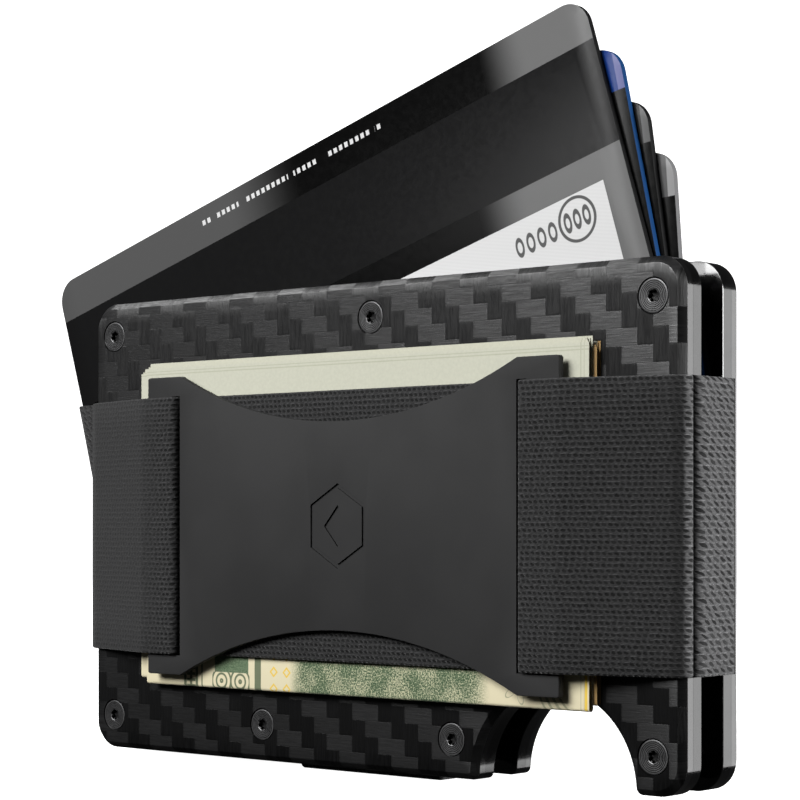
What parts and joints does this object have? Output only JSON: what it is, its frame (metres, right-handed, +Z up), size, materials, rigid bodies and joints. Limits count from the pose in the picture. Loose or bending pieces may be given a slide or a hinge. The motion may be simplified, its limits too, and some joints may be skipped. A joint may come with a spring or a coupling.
{
  "type": "minimalist wallet",
  "caption": "Card wallet of clamped carbon plates joined by elastic, with a strap plate holding folded notes and cards fanned out of the top.",
  "frame": {"origin": "middle of the back plate's outer face", "axes": "+X along the wallet's long side to the thumb notch end, +Y out of the back plate's outer face, +Z up towards the open edge that the cards come out of"},
  "size_m": [0.0966, 0.0144, 0.0821],
  "materials": {
    "carbon": "clear-coated carbon fibre twill",
    "inner_plate": "gloss black anodised",
    "screw": "black oxide with turned rings",
    "elastic": "fine woven elastic",
    "strap_plate": "fine satin texture",
    "card_grey": "gloss print with grey bands",
    "card_blue": "gloss blue print",
    "card_black": "gloss black print",
    "card_silver": "satin silver print",
    "banknote": "cream printed paper"
  },
  "bodies": {
    "front_assembly": {"front_carbon_plate": "carbon", "front_inner_plate": "inner_plate", "front_screw_1": "screw", "front_screw_2": "screw", "front_screw_3": "screw", "front_screw_4": "screw", "front_screw_5": "screw", "front_screw_6": "screw", "front_screw_7": "screw", "main_elastic": "elastic", "foot_elastic": "elastic", "cash_elastic": "elastic"},
    "back_assembly": {"back_carbon_plate": "carbon", "back_inner_plate": "inner_plate", "back_screw_1": "screw", "back_screw_2": "screw", "back_screw_3": "screw", "back_screw_4": "screw", "back_screw_5": "screw", "back_screw_6": "screw", "back_screw_7": "screw"},
    "strap_plate": {"strap_plate": "strap_plate"},
    "banknotes": {"banknote_front": "banknote", "banknote_rear": "banknote"},
    "card_1": {"card_1": "card_grey"},
    "card_2": {"card_2": "card_blue"},
    "card_3": {"card_3": "card_black"},
    "card_4": {"card_4": "card_silver"}
  },
  "joints": [
    {"name": "plates_open", "type": "slide", "parent": "front_assembly", "child": "back_assembly", "axis": [0, 1, 0], "range_m": [0, 0.006], "stiffness_N_per_m": 400, "springref_m": -0.004, "deforming": ["main_elastic", "foot_elastic"]},
    {"name": "strap_lift", "type": "slide", "parent": "front_assembly", "child": "strap_plate", "axis": [0, -1, 0], "range_m": [0, 0.004], "stiffness_N_per_m": 200, "springref_m": -0.003, "deforming": ["cash_elastic"]},
    {"name": "notes_pull", "type": "slide", "parent": "front_assembly", "child": "banknotes", "axis": [0, 0, 1], "range_m": [0, 0.03]},
    {"name": "card_1_fan", "type": "hinge", "parent": "front_assembly", "child": "card_1", "pos_m": [-0.05845, -0.0067, -0.00783], "axis": [0, -1, 0], "range_deg": [-16.96, 0]},
    {"name": "card_2_fan", "type": "hinge", "parent": "front_assembly", "child": "card_2", "pos_m": [-0.06722, -0.00575, -0.01154], "axis": [0, -1, 0], "range_deg": [-12.4, 0]},
    {"name": "card_3_fan", "type": "hinge", "parent": "front_assembly", "child": "card_3", "pos_m": [-0.07747, -0.0048, -0.01905], "axis": [0, -1, 0], "range_deg": [-8.4, 0]},
    {"name": "card_4_fan", "type": "hinge", "parent": "front_assembly", "child": "card_4", "pos_m": [-0.11254, -0.00385, -0.0382], "axis": [0, -1, 0], "range_deg": [-4.3, 0]}
  ]
}
